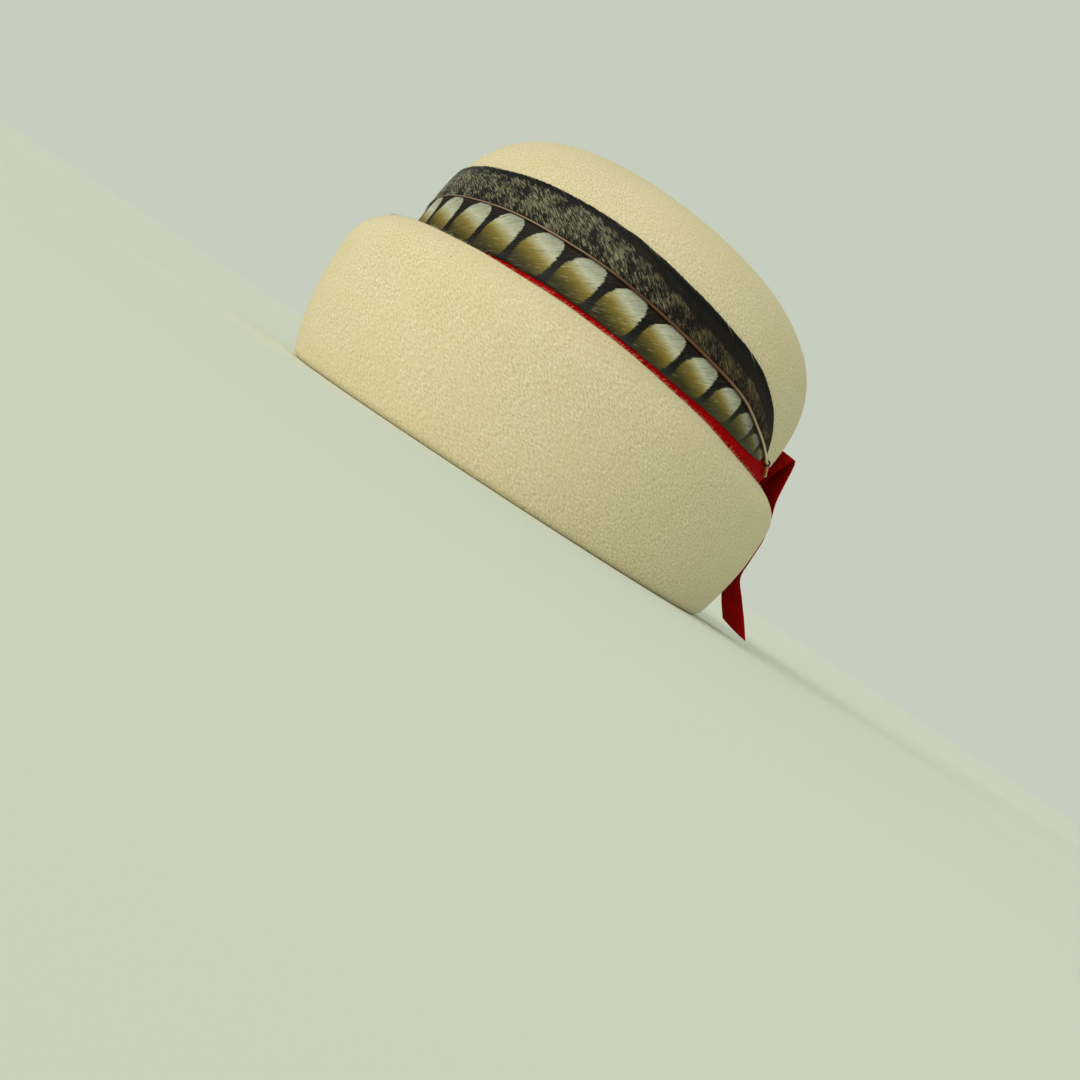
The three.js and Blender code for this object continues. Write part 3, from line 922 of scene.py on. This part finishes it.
def ribbon_tail():
    """The hanging end, and its length."""
    line = np.array([[row["side"], row["back"], row["up"]] for row in TAIL], float)
    distance = run_length(line)
    table = [dict(row, at=at) for row, at in zip(TAIL, distance)]
    side, back, up, turn = (table_curve(table, "at", column) for column in ("side", "back", "up", "turn"))
    at = np.linspace(0, distance[-1], TAIL_SHEET["rows"])
    centre = np.stack([side(at), back(at), up(at)], -1)
    angle = np.radians(turn(at))
    level = np.stack([np.cos(angle), np.sin(angle), np.zeros(len(at))], -1)
    wide = level * math.cos(TAIL_DIP) - np.array([0, 0, math.sin(TAIL_DIP)])
    normal = unit(np.cross(wide, np.gradient(centre, axis=0)))
    across = np.linspace(-0.5, 0.5, TAIL_SHEET["columns"])
    curled = smoothstep((at - TAIL_SHEET["flat_for"]) / TAIL_SHEET["fade_in"])
    curl = TAIL_SHEET["edge_curl"] * (across[None] * 2) ** 2 * curled[:, None]
    middle = centre[:, None] + wide[:, None] * (across * RIBBON["width"])[None, :, None]
    middle = middle + normal[:, None] * curl[..., None]
    half = TAIL_SHEET["thickness"] / 2
    front, rear = middle + normal[:, None] * half, middle - normal[:, None] * half
    place = np.stack(np.meshgrid(at, (across + 0.5) * RIBBON["width"], indexing="ij"), -1) * MM
    return sheet_mesh("red_ribbon_end", ribbon_material("ribbon_end_red"), front, rear, place), distance[-1]


# The feather

shaft_of = table_curve(FEATHER, "angle", "shaft")
TIP, BASE, END = FEATHER[0]["angle"], FEATHER[-1]["angle"], QUILL_ROOT[-1]["angle"]


def shaft_rise(angle):
    return CROWN["base_height"] + shaft_of(angle)


def quill_radius(angle):
    share = (angle - TIP) / (END - TIP)
    return QUILL["tip_radius"] + (QUILL["root_radius"] - QUILL["tip_radius"]) * share


def shaft_lengths():
    """Distance along the shaft from its root end, for a fine row of angles."""
    angle = np.linspace(BASE, TIP, 800)
    return angle, run_length(over_crown(np.radians(angle), shaft_rise(angle), VANE_GAP))


def parting_of(root, column):
    """How far each barb is pushed along the shaft by the places where barbs have parted."""
    parting = np.zeros(len(root))
    for place in SPLITS[column]:
        away = (root - place) / SPLIT["reach"]
        parting += np.sign(away) * np.exp(-away**2 * SPLIT["falloff"]) * SPLIT["shift"]
    return parting


def barb_lift(share, clump, parting):
    """How far the barbs' middles lie off the crown, before the vane is sunk."""
    arch = np.sin(share * math.pi) * (1 + CLUMP["lift"] * clump[:, None])
    lift = BARB_LIFT["least"] + BARB_LIFT["at_shaft"] * (1 - share) ** 2 + BARB_LIFT["arch"] * arch
    lift = lift + rng.normal(0, BARB_SPREAD["lift"], len(clump))[:, None]
    return lift + np.abs(parting)[:, None] * share * SPLIT["lift"]


def vane(name, side, column, spare, material):
    """One vane of barbs. Side is 1 for the upper vane and -1 for the lower. Spare is how far
    the barbs stand out past the vane's width in the table."""
    angles, lengths = shaft_lengths()
    total = lengths[-1]
    width_of = table_curve(FEATHER, "angle", column)

    def angle_at(distance):
        return np.interp(distance, lengths, angles)

    def edge_at(angle):
        return width_of(angle) + quill_radius(angle) * BARB_EDGE + CLEARANCE + spare

    pitch = BARBS["pitch"]
    count = int(total / pitch)
    root = (np.arange(count) + 0.5) * pitch
    knots = np.arange(0, total + 20, CLUMP["length"])
    clump = np.interp(root, knots, rng.normal(0, 1, len(knots)))
    slant, sweep = BARBS["slant"] + CLUMP["slant"] * clump, BARBS["sweep"] + CLUMP["slant"] * clump

    # Each barb ends where it meets the vane's edge, which a few rounds find.
    width = np.full(count, 10.0)
    for _ in range(40):
        tip = angle_at(np.minimum(root + width * (slant + sweep), total))
        width = 0.5 * width + 0.5 * edge_at(tip)
    width = np.maximum(width * (1 + rng.normal(0, BARB_SPREAD["width"], count) + CLUMP["width"] * clump), 0.5)

    parting = parting_of(root, column)
    share = np.linspace(0, 1, BARBS["rings"])[None]
    across = width[:, None] * share
    along = root[:, None] + width[:, None] * (slant[:, None] * share + sweep[:, None] * share**2)
    along = np.minimum(along + parting[:, None] * share**2, total)
    angle = angle_at(along)
    turn = np.radians(angle)
    rise = shaft_rise(angle) + side * (quill_radius(angle) * BARB_START + across)
    middle = over_crown(turn, rise, VANE_GAP + barb_lift(share, clump, parting) - BARB_LIFT["sunk"])
    outward = unit(over_crown(turn, rise, VANE_GAP + 2) - over_crown(turn, rise, VANE_GAP))

    # A barb's cross section is a low triangle, widest at the shaft.
    wide = unit(np.cross(outward, unit(np.gradient(middle, axis=1))))
    half = pitch * BARBS["half_width"] * (1 - BARBS["taper"] * share**3)[..., None]
    section = [(-1.0, 0.0), (1.0, 0.0), (0.0, BARBS["ridge"])]
    grid = np.stack([middle + wide * half * x + outward * z for x, z in section], axis=2)
    if side > 0:
        grid = grid[:, :, ::-1]

    leaning = angle + SPOT_LEAN * (across - SPOT_DEPTH)
    number = np.interp(leaning, np.array(SPOTS, float), np.arange(len(SPOTS)))
    share_of_vane = np.clip(across / np.maximum(edge_at(angle), 0.6), 0, 1)
    length = np.cumsum(np.linalg.norm(np.diff(middle, axis=1), axis=-1), axis=1)
    length = np.concatenate([np.zeros((count, 1)), length], axis=1)
    maps = {
        "plume": np.stack([number, share_of_vane], -1),
        "barb": np.stack([np.broadcast_to(root[:, None], length.shape), length], -1),
    }
    corner_maps = {key: np.repeat(values[:, :, None], 3, axis=2) for key, values in maps.items()}
    return tube_mesh(name, material, grid, corner_maps)


def shaft_line():
    """The shaft's centre line with its radius and the direction away from the crown."""
    body = np.linspace(TIP, BASE, QUILL["rings"])
    root = table_curve([FEATHER[-2], FEATHER[-1]] + QUILL_ROOT, "angle", "shaft")
    stub = np.linspace(BASE, END, QUILL["root_rings"] + 1)[1:]
    angle = np.concatenate([body, stub])
    rise = np.concatenate([shaft_rise(body), CROWN["base_height"] + root(stub)])
    radius = quill_radius(angle)
    centre = over_crown(np.radians(angle), rise, VANE_GAP + radius)
    outward = unit(over_crown(np.radians(angle), rise, 20) - centre)
    return centre, radius, outward


def quill():
    centre, radius, outward = shaft_line()
    along = unit(np.gradient(centre, axis=0))
    across = unit(np.cross(outward, along))
    over = np.cross(along, across)
    sides = QUILL["sides"]
    turn = (np.linspace(0, 2 * math.pi, sides, endpoint=False) + math.pi)[None, :, None]
    circle = across[:, None] * np.sin(turn) + over[:, None] * np.cos(turn) * QUILL["flatness"]
    rings = centre[:, None] + radius[:, None, None] * circle
    u, v = np.meshgrid(np.linspace(0, 1, len(centre)), np.arange(sides) / sides, indexing="ij")
    return tube_mesh("quill_shaft", quill_material(), rings[None], {"horn": np.stack([u, v], -1)[None]})


def thread_loop():
    centre, _, outward = shaft_line()
    k = len(centre) - THREAD["rings_from_end"]
    along = unit(centre[k + 1] - centre[k - 1])
    across = unit(np.cross(outward[k], along))
    over = np.cross(along, across)
    turn = np.linspace(-THREAD["half_turn"], THREAD["half_turn"], THREAD["steps"])
    spoke = across * np.sin(turn)[:, None] + over * np.cos(turn)[:, None]
    ring = np.linspace(0, 2 * math.pi, THREAD["sides"], endpoint=False)[None, :, None]
    circle = spoke[:, None] * np.cos(ring) + along * np.sin(ring)
    plies = []
    for start in (0, math.pi):
        twist = turn * THREAD["twist"] + start
        middle = centre[k] + spoke * (THREAD["loop_radius"] + THREAD["twist_out"] * np.cos(twist))[:, None]
        middle = middle + along * (THREAD["twist_along"] * np.sin(twist))[:, None]
        plies.append(middle[:, None] + THREAD["ply_radius"] * circle)
    around = np.arange(THREAD["sides"]) / THREAD["sides"]
    u, v = np.meshgrid(np.linspace(0, 1, THREAD["steps"]), around, indexing="ij")
    maps = np.stack([np.stack([u, v], -1)] * len(plies))
    return tube_mesh("stitch_thread", thread_material(), np.stack(plies), {"horn": maps})


# Camera, floor and light

def make_camera():
    """The camera stands a little above the floor, turned about its own line of sight."""
    azimuth, elevation, roll = (math.radians(CAMERA[key]) for key in ("azimuth", "elevation", "roll"))
    level = math.cos(elevation)
    back = np.array([math.sin(azimuth) * level, -math.cos(azimuth) * level, math.sin(elevation)])
    right = np.array([math.cos(azimuth), math.sin(azimuth), 0.0])
    up = np.cross(back, right)
    turned_right = right * math.cos(roll) + up * math.sin(roll)
    turned_up = up * math.cos(roll) - right * math.sin(roll)
    data = bpy.data.cameras.new("camera")
    data.sensor_width = CAMERA["sensor"]
    data.lens = CAMERA["sensor"] * CAMERA["focal_length"] / CAMERA["image_width"]
    data.clip_start, data.clip_end = CAMERA["nearest"], CAMERA["furthest"]
    camera = add_object("camera", data)
    place = (np.array(CAMERA["aim"]) + (0, SHIFT_Y, 0) + back * CAMERA["distance"]) * MM
    camera.matrix_world = Matrix([
        [turned_right[i], turned_up[i], back[i], place[i]] for i in range(3)
    ] + [[0, 0, 0, 1]])
    bpy.context.scene.camera = camera


def make_floor():
    """A wide flat floor, so far across that its edge is the horizon."""
    radius, count = FLOOR["radius"], FLOOR["corners"]
    turn = np.linspace(0, 2 * math.pi, count, endpoint=False)
    points = [(radius * math.cos(t), radius * math.sin(t), 0.0) for t in turn]
    mesh = bpy.data.meshes.new("floor")
    mesh.from_pydata(points, [], [list(range(count))])
    floor = add_object("floor", mesh)
    s = Surface("pale_floor", 0.9, 0.1)
    s.set("Base Color", s.ramp(s.noise(s.place(), scale=3), [(0.3, FLOOR["dark"]), (0.7, FLOOR["pale"])]))
    mesh.materials.append(s.material)


def make_lights():
    """One large soft light from the front left of the view, and pale surroundings."""
    sun = bpy.data.lights.new("key", "SUN")
    sun.energy = KEY["power"]
    sun.angle = KEY["spread"]
    sun.color = srgb(*KEY["colour"])[:3]
    key = add_object("key", sun)
    key.rotation_mode = "QUATERNION"
    key.rotation_quaternion = (-Vector(KEY["from"])).to_track_quat("-Z", "Y")
    world = bpy.data.worlds.new("world")
    bpy.context.scene.world = world
    world.use_nodes = True
    background = world.node_tree.nodes["Background"]
    background.inputs["Color"].default_value = srgb(*SURROUNDINGS["colour"])
    background.inputs["Strength"].default_value = SURROUNDINGS["power"]


bpy.context.scene.view_settings.view_transform = "Standard"
make_camera()
make_floor()
make_lights()

felt = felt_body()
fibres = brim_fibres()
band, band_length = ribbon_band()
tail, tail_length = ribbon_tail()
upper = vane("feather_upper_barbs", 1, "up", 0.0, upper_vane_material())
lower = vane("feather_lower_barbs", -1, "down", LOWER_SPARE, lower_vane_material())
shaft = quill()
thread = thread_loop()
nap = nap_fibres()

DRESS = [
    (felt, "felt_body", "felt"),
    (fibres, None, "felt"),
    (nap, None, "felt"),
    (band, "ribbon_band", "ribbon"),
    (tail, "ribbon_tail", "ribbon"),
    (upper, "feather_vane_upper", "feather_dark"),
    (lower, "feather_vane_lower", "feather_spotted"),
    (shaft, "feather_quill", "quill"),
    (thread, "thread_stitch", "thread"),
]
for piece, node, slot in DRESS:
    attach(piece, "root")
    if node:
        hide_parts(node)
